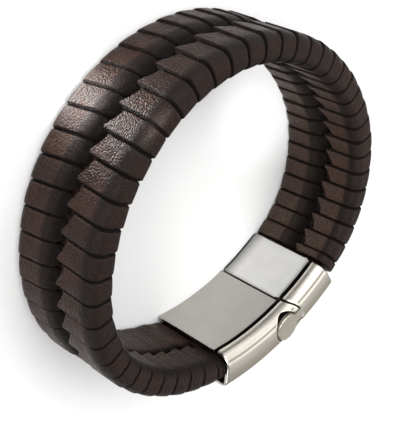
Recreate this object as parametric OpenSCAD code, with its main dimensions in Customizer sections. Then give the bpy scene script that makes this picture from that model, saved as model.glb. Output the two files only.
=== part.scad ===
// Leather bracelet lying on its side, with a push-button clasp. Millimetres.
// The band's loop lies in X and Y, and its width runs up Z from the surface that it rests on.
// A station is a length along the middle of the leather, anticlockwise from the clasp's middle,
// which faces -Y. A depth is measured outwards from the band's inner face.

/* [Band] */
// Width of the leather band
band_w = 19.3; // [18.9:0.1:19.4]
// Thickness of the leather band
band_t = 5.4; // [5.2:0.1:5.6]
// How much of the band's lower edge is pressed flat where it rests
pressed = 0.2; // [0:0.05:0.3]
// Radius of the band's side edges
side_r = 2; // [1.4:0.1:2.3]
// Height of the zigzag groove between the two rows of tabs
groove_at = 10.1; // [9.4:0.1:10.4]
// Width of the groove at the near tabs' tips
groove_w = 0.6; // [0.4:0.1:1]
// Radius of the near tabs' edges along the groove
near_r = 0.7; // [0.4:0.1:1]
// Radius with which the far tabs fall into the groove
far_r = 2; // [1.4:0.1:2.3]
// Height of a near tab's cut corner over its tip
fin_rise = 1.5; // [1:0.1:1.6]
// Depth of the groove, down to the leather that joins a link's two tabs
groove_depth = 1.1; // [0.8:0.1:1.3]
// Number of leather links, which is the number of tabs in the far row
links = 43; // [40:1:43]
// Gap between neighbouring tabs
slit = 0.4; // [0.3:0.05:0.6]

/* [Strap inside the links] */
// Thickness of the strap
strap_t = 1.8; // [1.4:0.1:2]
// Width of the strap
strap_w = 14; // [12:0.2:14.6]
// Clearance round the strap inside the links
strap_gap = 0.25; // [0.2:0.05:0.35]
// Thickness of the strap's two ends
neck_t = 4.4; // [4:0.1:4.6]
// Width of the strap's two ends
neck_w = 16; // [15:0.2:16.4]
// Length of each strap end inside the clasp
neck_in = 5; // [4:0.5:5.5]

/* [Loop] */
// Inner radius along the clasp
clasp_r = 45.8; // [45:0.1:46.5]
// Gap between the clasp's mouths and the first and last tab
mouth_gap = 0.6; // [0.4:0.1:0.8]

/* [Clasp] */
// Length of the clasp
clasp_len = 32.7; // [32:0.1:33.4]
// Width of the clasp
clasp_w = 19.6; // [19.4:0.1:20]
// Depth of the clasp's inner face
clasp_in = 0.1; // [0:0.05:0.2]
// Depth of the clasp's outer face
clasp_out = 7.6; // [7.4:0.1:7.8]
// Station of the joint between the two halves
joint_at = 4; // [3.5:0.1:4.5]
// Gap at the joint between the two halves
joint_gap = 0.2; // [0.15:0.05:0.3]
// Thickness of the steel walls and inner plates
wall = 1; // [0.9:0.05:1.05]
// Radius from a rail's lip to its side
rail_r = 3; // [2.5:0.1:3]
// Radius of the clasp's outer edges
outer_r = 1.8; // [1.2:0.1:2]
// Width of the near rails
rail_w = 3.2; // [3:0.1:3.4]
// Width of the groove between a rail and an inner plate
seam = 0.6; // [0.5:0.05:0.7]
// Height of the shorter half's cushion-edged plate over the longer half's
plate_step = 0.3; // [0.2:0.05:0.4]
// Small gap between the clasp's fitted pieces
fit_gap = 0.15; // [0.1:0.05:0.2]

/* [Button] */
// Station of the button's centre
button_at = 1.6; // [1.4:0.1:1.8]
// Depth of the button's centre
button_depth = 3.9; // [3.7:0.1:4]
// Radius of the button
button_r = 3.1; // [3:0.05:3.15]
// How far the button stands out of the rail's side
button_out = 0.35; // [0.2:0.05:0.4]
// Thickness of the button's disc
button_t = 1.4; // [1.2:0.1:1.5]
// Width of the chamfer round the button's face
button_chamfer = 0.4; // [0.2:0.05:0.6]
// Gap between the button and the rail that curls round it
button_gap = 0.3; // [0.25:0.05:0.35]
// Thickness of the rail's curl round the button
hook_t = 1.15; // [1:0.05:1.2]
// Width of the button's neck
neck_bar_w = 2.6; // [2.2:0.1:2.8]
// Radius of the button's stem
stem_r = 1.3; // [1.1:0.1:1.5]
// Radial clearance of the stem in its guide
stem_gap = 0.06; // [0.05:0.01:0.1]
// Length of the stem inside its guide
stem_in = 2; // [1.8:0.1:2.2]
// How far the button is pushed in
button_travel = 1; // [0.8:0.1:1]

/* [Hidden] */
$fn = 64;
function link_name(k) = str("link_", k < 10 ? "0" : "", k);

// Columns of the table of arcs
RADIUS = 0;
SWEEP = 1;
// The loop's inner face as arcs, anticlockwise from the clasp. A zero is worked out below, so that
// the loop closes.
clasp_sweep = degrees_of(clasp_len + 2 * mouth_gap, clasp_r + band_t / 2);
CLASP = 0;
TOP = 4;
LAST = 7;
arcs = [
    [clasp_r, clasp_sweep],
    [19.3, 41.25],
    [25.1, 41.25],
    [40.6, 41.25],
    [0, 0],
    [30.5, 41.25],
    [24.6, 41.25],
    [0, 41.25],
];

function degrees_of(length, radius) = length / radius * 180 / PI;
function length_of(degrees, radius) = degrees * PI / 180 * radius;
// Direction outwards at an angle measured anticlockwise from -Y
function outwards(angle) = [sin(angle), -cos(angle)];
function total(list, count) = count <= 0 ? 0 * list[0] : list[count - 1] + total(list, count - 1);
function column(table, name) = [for (row = table) row[name]];

sweeps = [for (i = [0:LAST]) i == TOP ? 360 - total(column(arcs, SWEEP), LAST + 1) : arcs[i][SWEEP]];
turns = [for (i = [0:LAST + 1]) -clasp_sweep / 2 + total(sweeps, i)];
chords = [for (i = [0:LAST]) outwards(turns[i + 1]) - outwards(turns[i])];
// The chords times their radii add up to zero, which gives the two radii left open
open_sum = total([for (i = [0:LAST]) arcs[i][RADIUS] * chords[i]], LAST + 1);
chord_cross = chords[TOP].x * chords[LAST].y - chords[TOP].y * chords[LAST].x;
top_r = (open_sum.y * chords[LAST].x - open_sum.x * chords[LAST].y) / chord_cross;
last_r = (open_sum.x * chords[TOP].y - open_sum.y * chords[TOP].x) / chord_cross;
radii = [for (i = [0:LAST]) i == TOP ? top_r : i == LAST ? last_r : arcs[i][RADIUS]];
mid_radii = [for (r = radii) r + band_t / 2];
stations = [
    for (i = [0:LAST + 1])
        -length_of(clasp_sweep / 2, mid_radii[CLASP])
        + total([for (j = [0:LAST]) length_of(sweeps[j], mid_radii[j])], i)
];
shifts = [for (i = [0:LAST]) i == 0 ? [0, 0] : (radii[i - 1] - radii[i]) * outwards(turns[i])];
loop_centres = [for (i = [0:LAST]) total(shifts, i + 1)];

// The whole outline, whose middle is put over the origin
outline_step = 1;
outline = concat(
    [
        for (i = [0:LAST])
            for (a = [0:outline_step:sweeps[i]])
                loop_centres[i] + (radii[i] + band_t) * outwards(turns[i] + a)
    ],
    [
        for (station = [-clasp_len / 2, 0, clasp_len / 2])
            (clasp_r + clasp_out) * outwards(degrees_of(station, mid_radii[CLASP]))
    ]
);
middle = [
    (min(column(outline, 0)) + max(column(outline, 0))) / 2,
    (min(column(outline, 1)) + max(column(outline, 1))) / 2
];
centres = [for (c = loop_centres) c - middle];

band_mid = (band_w - pressed) / 2;
tip_at = groove_at + groove_w / 2;
loop_len = stations[LAST + 1] - stations[0];
band_start = clasp_len / 2 + mouth_gap;
band_end = loop_len - clasp_len / 2 - mouth_gap;
pitch = (band_end - band_start) / links;
strap_step = 2;
rail_low = clasp_w - rail_w;
plate_w = rail_low - seam;
hook_r = button_r + button_gap + hook_t;
leather_brown = "#3a2e2b";
steel = "#cfccc5";

// The arc that a station lies on
function arc_at(station) = max([for (i = [0:LAST]) station >= stations[i] ? i : 0]);
function angle_on(arc, station) = turns[arc] + degrees_of(station - stations[arc], mid_radii[arc]);
function point_on(arc, station, depth) =
    centres[arc] + (radii[arc] + depth) * outwards(angle_on(arc, station));

// Bends a cross-section along one arc, from one station to another. In the section, x is the
// depth and y is the height.
module bend(arc, from, to) {
    translate(centres[arc])
        rotate([0, 0, angle_on(arc, from) - 90])
            rotate_extrude(angle = angle_on(arc, to) - angle_on(arc, from))
                translate([radii[arc], 0])
                    children();
}

// Puts its children on the middle of the leather, with +X along the stations and +Z at the tips
module at_station(arc, station) {
    spot = point_on(arc, station, band_t / 2);
    translate([spot.x, spot.y, tip_at]) rotate([0, 0, angle_on(arc, station)]) children();
}

// Cuts one corner of a rectangle to a radius
module corner_cut(r) {
    difference() {
        translate([-1, -1]) square(r + 1);
        translate([r, r]) circle(r);
    }
}

// A rectangle from low to high. Its corner radii are for the inner low, outer low, outer high and
// inner high corners.
module rounded(low, high, corner_radii) {
    difference() {
        translate(low) square(high - low);
        translate(low) corner_cut(corner_radii[0]);
        translate([high.x, low.y]) mirror([1, 0]) corner_cut(corner_radii[1]);
        translate(high) rotate(180) corner_cut(corner_radii[2]);
        translate([low.x, high.y]) mirror([0, 1]) corner_cut(corner_radii[3]);
    }
}

module near_tab_section() {
    rounded([0, tip_at], [band_t, band_w], [near_r, near_r, side_r, side_r]);
}

module far_tab_section() {
    intersection() {
        rounded([0, -pressed], [band_t, groove_at - groove_w / 2], [side_r, side_r, far_r, far_r]);
        translate([-1, 0]) square([band_t + 2, band_w]);
    }
}

// The leather under the groove, which joins a link's two tabs
module web_section() {
    low = groove_at - groove_w / 2 - far_r;
    translate([groove_depth, low]) square([band_t - 2 * groove_depth, tip_at + fin_rise - low]);
}

// A near tab, whose end slopes from its cut corner down to its tip. The first and last tab of the
// row are halves, so the tip's station is given apart.
module near_tab(arc, from, to, tip) {
    back = slit - pitch - 1;
    slope = fin_rise / (pitch - slit - near_r);
    difference() {
        bend(arc, from, to) near_tab_section();
        at_station(arc, tip)
            rotate([90, 0, 0])
                linear_extrude(2 * band_t, center = true)
                    polygon([[back, -1], [1 / slope - near_r, -1], [back, fin_rise + slope]]);
    }
}

module strap_section(thickness, width) {
    translate([(band_t - thickness) / 2, band_mid - width / 2]) square([thickness, width]);
}

module strap_channel(arc, from, to) {
    bend(arc, from - pitch, to + pitch)
        strap_section(strap_t + 2 * strap_gap, strap_w + 2 * strap_gap);
}

// A link has a tab in the far row and a tab in the near row, half a pitch behind it
module leather_link(k) {
    from = band_start + (k - 1) * pitch;
    near_from = max(from - pitch / 2, band_start);
    near_to = from + pitch / 2;
    arc = arc_at(from);
    color(leather_brown) difference() {
        union() {
            bend(arc, from + slit / 2, from + pitch - slit / 2) far_tab_section();
            near_tab(arc, near_from + slit / 2, near_to - slit / 2, near_to - slit / 2);
            bend(arc, from + slit, near_to - slit) web_section();
        }
        strap_channel(arc, near_from, from + pitch);
    }
}

module end_tab() {
    from = band_end - pitch / 2;
    arc = arc_at(from);
    color(leather_brown) difference() {
        near_tab(arc, from + slit / 2, band_end - slit / 2, band_end + (pitch - slit) / 2);
        strap_channel(arc, from, band_end);
    }
}

// One side of the strap as seen from above, from a little before the band to a little after it
function strap_side(depth) = [
    for (station = [band_start - 0.5:strap_step:band_end + 0.5])
        point_on(arc_at(station), station, depth)
];
function backwards(list) = [for (i = [len(list) - 1:-1:0]) list[i]];

module core_strap() {
    inner = (band_t - strap_t) / 2;
    color(leather_brown) {
        translate([0, 0, band_mid - strap_w / 2])
            linear_extrude(strap_w)
                polygon(concat(strap_side(inner + strap_t), backwards(strap_side(inner))));
        strap_end(band_start - mouth_gap - neck_in, band_start);
        strap_end(band_end - loop_len, band_end - loop_len + mouth_gap + neck_in);
    }
}

// The thicker end of the strap, clear of the clasp's inner plate
module strap_end(from, to) {
    on_clasp(from, to)
        translate([clasp_in + wall + 2 * fit_gap, band_mid - neck_w / 2])
            square([neck_t, neck_w]);
}

module on_clasp(from, to) {
    bend(CLASP, from, to) children();
}

// Puts its children at the button's centre, with +Y inwards
module at_button(height) {
    angle = angle_on(CLASP, button_at);
    spot = centres[CLASP] + (clasp_r + button_depth) * outwards(angle);
    translate([spot.x, spot.y, height]) rotate([0, 0, angle]) children();
}

module clasp_outer_section() {
    rounded([clasp_in, 0], [clasp_out, clasp_w], [wall, outer_r, outer_r, rail_r]);
}

module clasp_cavity_section() {
    rounded(
        [clasp_in + wall, wall],
        [clasp_out - wall, clasp_w - wall],
        [0.1, outer_r - wall, outer_r - wall, rail_r - wall]
    );
}

// The opening in a shell's inner face, which holds the plate and the groove beside it
module plate_opening_section() {
    translate([-1, -1]) square([clasp_in + wall + fit_gap + 1, rail_low + 1]);
}

module shell_section() {
    difference() {
        clasp_outer_section();
        clasp_cavity_section();
        plate_opening_section();
    }
}

module hook_disc(r, low) {
    at_button(low) cylinder(r = r, h = clasp_w);
}

// The longer half. Past the joint only the rail goes on, as the curl round the button.
module box_shell() {
    hook_reach = 4;
    color(steel) difference() {
        on_clasp(-clasp_len / 2, joint_at + hook_reach) shell_section();
        difference() {
            on_clasp(joint_at, joint_at + hook_reach + 1)
                translate([-1, -1]) square([clasp_out + 2, clasp_w + 2]);
            hook_disc(hook_r, rail_low);
        }
        hook_disc(button_r + button_gap, rail_low);
        at_button(rail_low)
            translate([0, -neck_bar_w / 2 - button_gap, 0])
                cube([hook_r + 1, neck_bar_w + 2 * button_gap, clasp_w]);
    }
}

module box_plate() {
    color(steel)
        on_clasp(-clasp_len / 2, joint_at - joint_gap / 2)
            rounded([clasp_in, 0], [clasp_in + wall, plate_w], [wall * 0.9, 0.05, 0.05, 0.15]);
}

module tongue_plate() {
    color(steel)
        on_clasp(joint_at + joint_gap / 2, clasp_len / 2)
            rounded(
                [clasp_in - plate_step, 0],
                [clasp_in + wall, plate_w],
                [wall, 0.05, 0.05, wall * 0.6]
            );
}

// The shorter half: solid at the joint, hollow round the strap's end, with a tongue into the box
module tongue_shell() {
    tongue_in = 8;
    tongue_gap = 0.3;
    bulkhead = clasp_len / 2 - neck_in - 0.5;
    guide_depth = stem_in + button_travel + 2 * tongue_gap;
    tongue_high = plate_w - fit_gap;
    color(steel) difference() {
        union() {
            on_clasp(joint_at + joint_gap, clasp_len / 2) shell_section();
            on_clasp(joint_at + joint_gap, bulkhead) difference() {
                clasp_outer_section();
                plate_opening_section();
            }
            on_clasp(joint_at - tongue_in - tongue_gap, joint_at + 1)
                rounded(
                    [clasp_in + wall + fit_gap, wall + tongue_gap],
                    [clasp_out - wall - tongue_gap, tongue_high],
                    [0.5, 0.5, 0.5, 0.5]
                );
        }
        hook_disc(hook_r + joint_gap, tongue_high);
        at_button(tongue_high - guide_depth) cylinder(r = stem_r + stem_gap, h = guide_depth + 1);
    }
}

// The button's disc, the neck that reaches out of the rail's curl, and the stem that guides it
module push_button() {
    top = clasp_w + button_out;
    low = top - button_t;
    stem_low = plate_w - fit_gap - stem_in;
    color(steel) union() {
        at_button(low) cylinder(r = button_r, h = button_t - button_chamfer);
        at_button(top - button_chamfer)
            cylinder(r1 = button_r, r2 = button_r - button_chamfer, h = button_chamfer);
        at_button(stem_low) cylinder(r = stem_r, h = low - stem_low + 0.2);
        intersection() {
            at_button(clasp_w - wall)
                translate([0, -neck_bar_w / 2, 0])
                    cube([hook_r + 1, neck_bar_w, wall]);
            hook_disc(hook_r + joint_gap / 2, 0);
        }
    }
}

for (k = [1:links]) leather_link(k);
end_tab();
core_strap();
box_shell();
box_plate();
tongue_shell();
tongue_plate();
push_button();
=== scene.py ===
"""Looks for the leather bracelet that lies on its side: two rows of leather tabs wrapped round a
strap, a steel clasp with its push button, a pale floor and soft studio light."""

import math
import random

import bmesh
import bpy
from bpy.props import FloatProperty, FloatVectorProperty, PointerProperty
from mathutils import Matrix, Vector, noise


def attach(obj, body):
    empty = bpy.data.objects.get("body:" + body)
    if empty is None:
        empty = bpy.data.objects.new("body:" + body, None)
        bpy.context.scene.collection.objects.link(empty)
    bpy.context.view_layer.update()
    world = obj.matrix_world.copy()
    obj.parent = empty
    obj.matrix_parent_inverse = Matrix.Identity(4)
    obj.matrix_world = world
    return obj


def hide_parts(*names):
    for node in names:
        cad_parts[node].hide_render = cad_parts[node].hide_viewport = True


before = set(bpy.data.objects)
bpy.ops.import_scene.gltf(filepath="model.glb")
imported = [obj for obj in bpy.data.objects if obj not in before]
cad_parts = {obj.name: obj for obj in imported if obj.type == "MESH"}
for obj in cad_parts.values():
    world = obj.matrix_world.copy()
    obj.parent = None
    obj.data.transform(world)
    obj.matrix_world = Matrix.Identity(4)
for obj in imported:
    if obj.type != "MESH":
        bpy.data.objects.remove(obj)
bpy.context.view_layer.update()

bl_info = {
    "name": "Leather bracelet",
    "version": (1, 0, 0),
    "blender": (4, 5, 0),
    "location": "View3D > Sidebar > Bracelet",
    "description": "Dresses the leather bracelet's frame with tabs, strap, clasp and stage",
    "category": "Object",
}

MM = 0.001
LINKS = sum(name.startswith("link_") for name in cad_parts)
LINK_NODES = [f"link_{k:02d}" for k in range(1, LINKS + 1)]


def length(name, description, millimetres):
    """A size property in Blender's own unit, given in millimetres."""
    return FloatProperty(
        name=name, description=description, default=millimetres * MM, min=0.0, unit="LENGTH",
        precision=5,
    )


def colour(name, description, rgb):
    """A colour property."""
    return FloatVectorProperty(
        name=name, description=description, default=rgb, size=3, min=0.0, max=1.0,
        subtype="COLOR",
    )


def share(name, description, default):
    """A property between 0 and 1."""
    return FloatProperty(
        name=name, description=description, default=default, min=0.0, max=1.0, subtype="FACTOR"
    )


class BandSizes(bpy.types.PropertyGroup):
    thickness: length("Thickness", "Thickness of the leather band", 5.4)
    width: length("Width", "Width of the leather band", 19.3)
    pressed: length("Pressed edge", "How much of the lower edge is pressed flat", 0.2)
    side_radius: length("Side radius", "Radius of the band's side edges", 2.0)
    slit: length("Slit", "Gap between neighbouring tabs", 0.42)
    slit_radius: length("Slit edge radius", "Radius of a tab's long edges", 0.22)
    tip: length("Near tips", "Height of the near tabs' tips", 10.4)
    far_top: length("Far tips", "Height of the far tabs' sunken ends", 10.4)
    wall: length("Leather thickness", "Thickness of the leather round the strap", 1.55)
    crown: length("Crown", "How far a tab's middle stands over its edges", 0.08)
    overlap: length("Overlap", "How far a tab's later edge stands over the next tab", 0.32)
    mouth_gap: length("Mouth gap", "Gap between the clasp's mouths and the tabs", 0.6)


class ClaspSizes(bpy.types.PropertyGroup):
    length: length("Length", "Length of the clasp", 32.7)
    width: length("Width", "Width of the clasp", 19.6)
    radius: length("Bend radius", "Inner radius along the clasp", 45.8)
    inner: length("Inner depth", "Depth of the clasp's inner face", 0.1)
    outer: length("Outer depth", "Depth of the clasp's outer face", 7.6)
    joint: length("Joint", "Station of the joint between the two halves", 4.0)
    joint_gap: length("Joint gap", "Gap between the two halves", 0.2)
    wall: length("Wall", "Thickness of the steel", 1.0)
    rail: length("Rail", "Width of the near rails", 3.2)
    seam: length("Seam", "Groove between a rail and an inner plate", 0.6)
    plate_step: length("Plate step", "Height of the shorter plate over the other", 0.3)
    button_station: length("Button station", "Station of the button's centre", 1.6)
    button_depth: length("Button depth", "Depth of the button's centre", 3.9)
    button_radius: length("Button radius", "Radius of the button", 3.1)
    button_out: length("Button height", "How far the button stands out", 0.35)
    button_gap: length("Button gap", "Gap between the button and the rail's curl", 0.3)
    curl: length("Curl", "Thickness of the rail's curl round the button", 1.15)
    neck: length("Neck", "Width of the button's neck", 2.6)


class Finishes(bpy.types.PropertyGroup):
    leather: colour("Leather", "Colour of the leather", (0.0115, 0.0040, 0.0021))
    leather_warm: colour("Warm patches", "Colour of the warmer patches", (0.0245, 0.0076, 0.0038))
    # Wear colour, also laid as painted sheen on inner faces and painted highlights on lit edges
    leather_wear_and_sheen: colour("Worn edges", "Colour of the tabs' worn edges", (0.045, 0.028, 0.022))
    steel: colour("Steel", "Colour of the clasp's shells", (0.44, 0.42, 0.375))
    # Painted shade: the shells darken to this colour further out
    steel_outer_shade: colour("Outer steel", "Colour of the shells further out", (0.285, 0.258, 0.213))
    # Painted shade: darker than the shells' steel
    button_steel: colour("Button", "Colour of the push button", (0.36, 0.335, 0.28))
    plate_steel: colour("Plate", "Colour of the longer half's plate", (0.42, 0.41, 0.382))
    # Painted light: brighter than the shells' steel
    cushion_steel: colour("Cushioned plate", "Colour of the shorter plate", (0.7, 0.695, 0.675))
    floor: colour("Floor", "Colour of the floor", (0.69, 0.69, 0.69))
    leather_roughness: share("Leather roughness", "Roughness of the leather", 0.34)
    steel_roughness: share("Steel roughness", "Roughness of the steel", 0.3)


def sizes(group):
    """A property group's sizes in millimetres."""
    return {key: getattr(group, key) / MM for key in group.__annotations__}


def outwards(angle):
    """Direction outwards at an angle in radians, anticlockwise from -Y."""
    return Vector((math.sin(angle), -math.cos(angle)))


class Loop:
    """The band seen from above, as tangent arcs in millimetres. A station is a length along the
    middle of the leather from the clasp's middle, and a depth is outwards from its inner face."""

    # The arcs' inner radii. The first is the clasp's, and the two others follow from closing
    RADII = (None, 19.3, 25.1, 40.6, None, 30.5, 24.6, None)
    ARCS, TOP, LAST = len(RADII), 4, 7
    SWEEP = math.radians(41.25)
    # Stations on the leather that are measured to put the loop's middle over the origin
    MEASURED = range(17, 197)

    def __init__(self, band, clasp):
        thickness = band["thickness"]
        mouths = clasp["length"] + 2 * band["mouth_gap"]
        clasp_sweep = mouths / (clasp["radius"] + thickness / 2)
        top_sweep = math.tau - clasp_sweep - (self.ARCS - 2) * self.SWEEP
        side = [self.SWEEP] * (self.TOP - 1)
        sweeps = [clasp_sweep, *side, top_sweep, *side]
        self.turns = [-clasp_sweep / 2]
        for sweep in sweeps:
            self.turns.append(self.turns[-1] + sweep)
        radii = [clasp["radius"], *self.RADII[1:]]
        chords = [outwards(b) - outwards(a) for a, b in zip(self.turns, self.turns[1:])]
        left = sum((c * r for c, r in zip(chords, radii) if r), Vector((0, 0)))
        top, last = chords[self.TOP], chords[self.LAST]
        cross = top.x * last.y - top.y * last.x
        radii[self.TOP] = (left.y * last.x - left.x * last.y) / cross
        radii[self.LAST] = (left.x * top.y - left.y * top.x) / cross
        self.radii, self.half = radii, thickness / 2
        self.stations = [-clasp_sweep / 2 * (radii[0] + self.half)]
        self.centres = [Vector((0, 0))]
        for i, (sweep, radius) in enumerate(zip(sweeps, radii)):
            self.stations.append(self.stations[-1] + sweep * (radius + self.half))
            if i:
                step = (radii[i - 1] - radius) * outwards(self.turns[i])
                self.centres.append(self.centres[-1] + step)
        around = [(s, thickness) for s in self.MEASURED]
        around += [(s * clasp["length"] / 2, clasp["outer"]) for s in (-1, 0, 1)]
        points = [self.at(s, d, 0) for s, d in around]
        middle = [(min(p[i] for p in points) + max(p[i] for p in points)) / 2 for i in (0, 1)]
        self.centres = [c - Vector(middle) for c in self.centres]
        self.length = self.stations[-1] - self.stations[0]
        self.start = clasp["length"] / 2 + band["mouth_gap"]
        self.end = self.length - self.start
        self.pitch = (self.end - self.start) / LINKS

    def angle(self, station):
        """The arc of a station and the angle at which it lies."""
        arc = max((i for i in range(self.ARCS) if station >= self.stations[i]), default=0)
        along = (station - self.stations[arc]) / (self.radii[arc] + self.half)
        return arc, self.turns[arc] + along

    def on_clasp(self, point):
        """The station, depth and height of a point on the clasp."""
        flat = point.to_2d() - self.centres[0]
        station = math.atan2(flat.x, -flat.y) * (self.radii[0] + self.half)
        return Vector((station, flat.length - self.radii[0], point.z))

    def at(self, station, depth, height):
        """The point in millimetres at a station, depth and height."""
        if station > self.stations[-1]:
            station -= self.stations[-1] - self.stations[0]
        arc, angle = self.angle(station)
        flat = self.centres[arc] + (self.radii[arc] + depth) * outwards(angle)
        return flat.to_3d() + Vector((0, 0, height))


def ease(u, points):
    """A smooth curve through a short list of (place, value) points."""
    for (a, low), (b, high) in zip(points, points[1:]):
        if u <= b:
            t = min(max((u - a) / (b - a), 0.0), 1.0)
            return low + (high - low) * t * t * (3 - 2 * t)
    return points[-1][1]


def rise(value, low, high):
    """0 below low, 1 over high and smooth between them."""
    return ease(value, ((low, 0.0), (high, 1.0)))


def rounded(bm, geom, radius, segments, affect="EDGES"):
    """Rounds the given edges or corners."""
    bmesh.ops.bevel(
        bm, geom=geom, offset=radius, offset_type="OFFSET", segments=segments, profile=0.5,
        affect=affect, material=-1,
    )


# Radius and segments of a cross-section's square corner
SQUARE = (0, 0)


def oblong(low, high, bottom, top, corner=SQUARE):
    """A cross-section with four like corners, between two depths and two heights."""
    sides = ((low, bottom), (high, bottom), (high, top), (low, top))
    return [(depth, height, *corner) for depth, height in sides]


def prism(corners, start, end):
    """Sweeps a cross-section along X. A corner is its depth, height, radius and segments."""
    bm = bmesh.new()
    rim = [bm.verts.new((start, corner[0], corner[1])) for corner in corners]
    bm.faces.new(rim)
    for vert, (_, _, radius, segments) in zip(rim, corners):
        if radius:
            rounded(bm, [vert], radius, segments, affect="VERTICES")
    swept = bmesh.ops.extrude_face_region(bm, geom=bm.faces[:])
    far_end = [item for item in swept["geom"] if isinstance(item, bmesh.types.BMVert)]
    bmesh.ops.translate(bm, vec=(end - start, 0, 0), verts=far_end)
    bmesh.ops.recalc_face_normals(bm, faces=bm.faces[:])
    return bm


def everything(bm):
    return bm.verts[:] + bm.edges[:] + bm.faces[:]


def slice_up(bm, axis, places):
    """Cuts a mesh at planes square to an axis, so that it can be bent and shaped."""
    normal = Vector((0, 0, 0))
    normal[axis] = 1
    for place in places:
        bmesh.ops.bisect_plane(
            bm, geom=everything(bm), plane_co=normal * place, plane_no=normal
        )


def steps(start, end, step):
    """Evenly spaced places between two ends, which are left out."""
    count = max(2, math.ceil((end - start) / step))
    return [start + (end - start) * i / count for i in range(1, count)]


# Turns in degrees at which the quarter round of a rolled end is cut
ROLL_TURNS = (22.5, 45, 67.5, 90)


def roll_end(bm, place, way, radius):
    """Rounds the skin of a straight sweep over towards one of its ends."""
    shares = [1 - math.cos(math.radians(turn)) for turn in ROLL_TURNS]
    slice_up(bm, 0, [place + way * radius * part for part in shares])
    bm.normal_update()
    for vert in bm.verts:
        along = (vert.co.x - place) * way
        if along < radius:
            drop = radius - math.sqrt(radius**2 - (radius - along) ** 2)
            vert.co -= Vector((0, vert.normal.y, vert.normal.z)).normalized() * drop


def bent(loop, corners, start, end, step=0.8, rolled=(0.0, 0.0)):
    """A cross-section swept from one station to another and bent round the loop."""
    bm = prism(corners, start, end)
    slice_up(bm, 0, steps(start, end, step))
    for place, way, radius in ((start, 1, rolled[0]), (end, -1, rolled[1])):
        if radius:
            roll_end(bm, place, way, radius)
    flow = bm.verts.layers.float_vector.new("flow")
    for vert in bm.verts:
        vert[flow] = vert.co
        vert.co = loop.at(*vert.co)
    return bm


def disc(loop, clasp, radius, low, high, segments=128):
    """An upright cylinder on the button's axis."""
    bm = bmesh.new()
    bmesh.ops.create_cone(
        bm, cap_ends=True, segments=segments, radius1=radius, radius2=radius, depth=high - low
    )
    bmesh.ops.translate(bm, vec=(0, 0, (high + low) / 2), verts=bm.verts[:])
    return at_button(loop, clasp, bm)


def block(loop, clasp, low, high):
    """A box between two corners, placed from the button's centre with X along the clasp."""
    bm = bmesh.new()
    bmesh.ops.create_cube(bm, size=1.0)
    bmesh.ops.scale(bm, vec=Vector(high) - Vector(low), verts=bm.verts[:])
    bmesh.ops.translate(bm, vec=(Vector(high) + Vector(low)) / 2, verts=bm.verts[:])
    return at_button(loop, clasp, bm)


def at_button(loop, clasp, bm):
    """Turns a mesh with the clasp and moves it from the origin to the button's axis."""
    _, angle = loop.angle(clasp["button_station"])
    spot = loop.at(clasp["button_station"], clasp["button_depth"], 0)
    turn = Matrix.Rotation(angle, 3, "Z")
    bmesh.ops.rotate(bm, cent=(0, 0, 0), matrix=turn, verts=bm.verts[:])
    bmesh.ops.translate(bm, vec=spot, verts=bm.verts[:])
    return bm


# How far from the clasp's ends the polish of their rims, coloured as a painted highlight, starts,
# and where it is full
RIM_START, RIM_FULL = 0.45, 0.2


def mark(bm, loop, end, dark):
    """Gives each point of a clasp piece its flow along the clasp, its painted shade, and the polish
    of the rims at the clasp's two ends, whose colour is a painted highlight."""
    flow = bm.verts.layers.float_vector.new("flow")
    painted_shade, polish_highlight = (bm.verts.layers.float.new(name) for name in ("painted_shade", "polish_highlight"))
    for vert in bm.verts:
        place = loop.on_clasp(vert.co)
        vert[flow], vert[painted_shade] = place, dark(place)
        vert[polish_highlight] = rise(abs(place.x), end - RIM_START, end - RIM_FULL)


def object_of(bm, name):
    """Turns a bmesh into an object of the scene and frees it."""
    mesh = bpy.data.meshes.new(name)
    bm.to_mesh(mesh)
    bm.free()
    made = bpy.data.objects.new(name, mesh)
    bpy.context.scene.collection.objects.link(made)
    return made


def add_to(bm, other):
    """Adds one mesh to another and frees it."""
    spare = bpy.data.meshes.new("spare")
    other.to_mesh(spare)
    other.free()
    bm.from_mesh(spare)
    bpy.data.meshes.remove(spare)


# Points closer than this are one before edges are rounded, and edges that turn more are sharp
WELDED, SHARP = 0.004, math.radians(32)


def combined(bm, changes, bevel=0.0):
    """Joins or cuts meshes one after another, then rounds the edges that are left sharp."""
    base = object_of(bm, "base")
    helpers = []
    for operation, other in changes:
        helpers.append(object_of(other, "cutter"))
        change = base.modifiers.new(operation, "BOOLEAN")
        change.operation, change.solver, change.object = operation, "EXACT", helpers[-1]
    if bevel:
        base.modifiers.new("weld", "WELD").merge_threshold = WELDED
        rounding = base.modifiers.new("bevel", "BEVEL")
        rounding.width, rounding.segments, rounding.limit_method = bevel, 2, "ANGLE"
        rounding.angle_limit, rounding.miter_outer = SHARP, "MITER_ARC"
        rounding.use_clamp_overlap = True
    final = base.evaluated_get(bpy.context.evaluated_depsgraph_get())
    mesh = bpy.data.meshes.new_from_object(final)
    out = bmesh.new()
    out.from_mesh(mesh)
    bpy.data.meshes.remove(mesh)
    for used in [base, *helpers]:
        spare = used.data
        bpy.data.objects.remove(used)
        bpy.data.meshes.remove(spare)
    return out


def keep(bm, name, material, nodes, body):
    """Turns a finished mesh in millimetres into a piece that rides on a body for its CAD nodes."""
    bmesh.ops.scale(bm, vec=(MM, MM, MM), verts=bm.verts[:])
    for face in bm.faces:
        face.smooth = True
    piece = object_of(bm, name)
    piece.data.materials.append(material)
    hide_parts(*nodes)
    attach(piece, body)
    return piece


def flat_sided(piece):
    """Keeps the flat faces flat beside their rounded edges."""
    piece.modifiers.new("shading", "WEIGHTED_NORMAL").keep_sharp = True


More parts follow.
